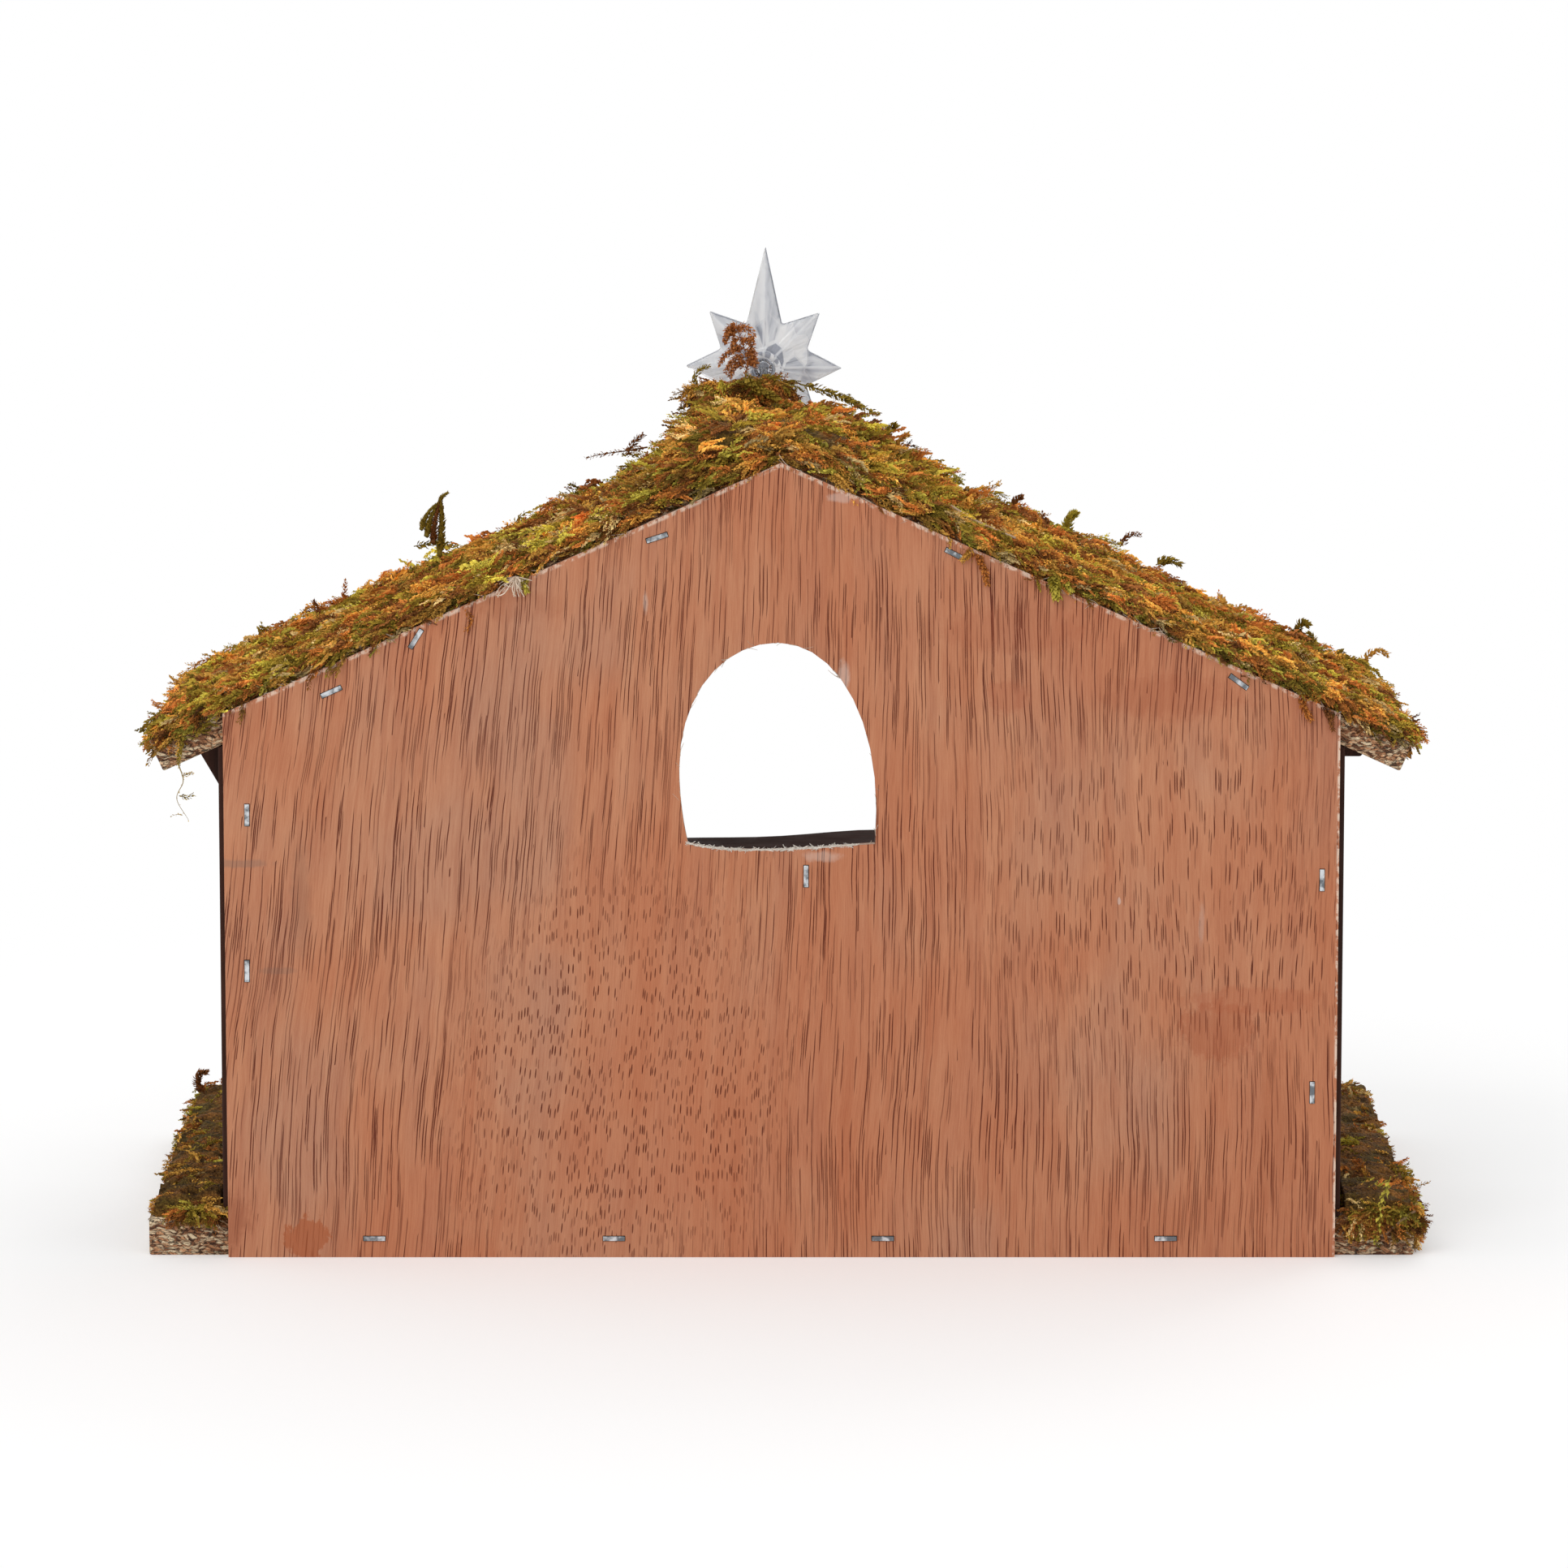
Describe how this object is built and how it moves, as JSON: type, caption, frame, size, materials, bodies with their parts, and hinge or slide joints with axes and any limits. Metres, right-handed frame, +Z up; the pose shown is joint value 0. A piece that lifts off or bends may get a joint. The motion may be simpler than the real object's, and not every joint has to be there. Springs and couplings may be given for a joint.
{
  "type": "lighted nativity scene",
  "caption": "Wooden nativity stable with a moss roof, an arched window in its back panel, a clear lighted star on the ridge, a battery case under the roof and resin figures.",
  "frame": {"origin": "bottom centre of the bounding box: the middle of the base board's underside", "axes": "+X across the stable, +Y from the open front to the back panel, +Z up; pieces named left lie at +X, which is the left of someone who looks at the back panel"},
  "size_m": [0.34, 0.1703, 0.2638],
  "materials": {
    "luan_plywood": "sanded, unfinished",
    "chipboard": "raw cut chipboard",
    "dark_wood": "dark stained",
    "moss": "dried moss",
    "straw": "dry straw",
    "staple_steel": "galvanised",
    "clear_plastic": "clear moulded",
    "lamp_lens": "clear warm white lamp",
    "lead_insulation": "satin",
    "case_plastic": "fine texture",
    "cell_wrap": "printed wrap, plain",
    "contact_steel": "nickel plated",
    "robe_brown": "painted resin",
    "robe_blue": "painted resin",
    "cream_cloth": "painted resin"
  },
  "bodies": {
    "stable": {"base_board": "chipboard", "back_panel": "luan_plywood", "side_wall_left": "dark_wood", "side_wall_right": "dark_wood", "front_post_left": "dark_wood", "front_post_right": "dark_wood", "knee_brace_left": "dark_wood", "knee_brace_right": "dark_wood", "roof_board_left": "chipboard", "roof_board_right": "chipboard", "ridge_beam": "dark_wood", "hay_shelf": "dark_wood", "staple_roof_left_1": "staple_steel", "staple_roof_left_2": "staple_steel", "staple_roof_left_3": "staple_steel", "staple_roof_right_1": "staple_steel", "staple_roof_right_2": "staple_steel", "staple_wall_left_1": "staple_steel", "staple_wall_left_2": "staple_steel", "staple_wall_right_1": "staple_steel", "staple_wall_right_2": "staple_steel", "staple_base_1": "staple_steel", "staple_base_2": "staple_steel", "staple_base_3": "staple_steel", "staple_base_4": "staple_steel", "staple_shelf_1": "staple_steel", "roof_moss_left": "moss", "roof_moss_right": "moss", "ridge_moss": "moss", "base_moss_left": "moss", "base_moss_right": "moss", "base_moss_front": "moss", "floor_straw": "straw", "star": "clear_plastic", "lamp": "lamp_lens", "lamp_lead": "lead_insulation", "battery_case": "case_plastic", "cell_left": "cell_wrap", "cell_right": "cell_wrap", "series_contact": "contact_steel", "positive_contact": "contact_steel", "negative_contact": "contact_steel", "switch_body": "contact_steel", "standing_figure": "robe_brown", "staff": "dark_wood", "kneeling_figure": "robe_blue", "manger": "dark_wood", "manger_straw": "straw", "infant": "cream_cloth"},
    "battery_cover": {"battery_cover": "case_plastic"},
    "switch_slider": {"switch_slider": "case_plastic"}
  },
  "joints": [
    {"name": "battery_cover_slide", "type": "slide", "parent": "stable", "child": "battery_cover", "axis": [0, -1, 0], "range_m": [0, 0.056]},
    {"name": "switch_slide", "type": "slide", "parent": "stable", "child": "switch_slider", "axis": [1, 0, 0], "range_m": [0, 0.003]}
  ]
}
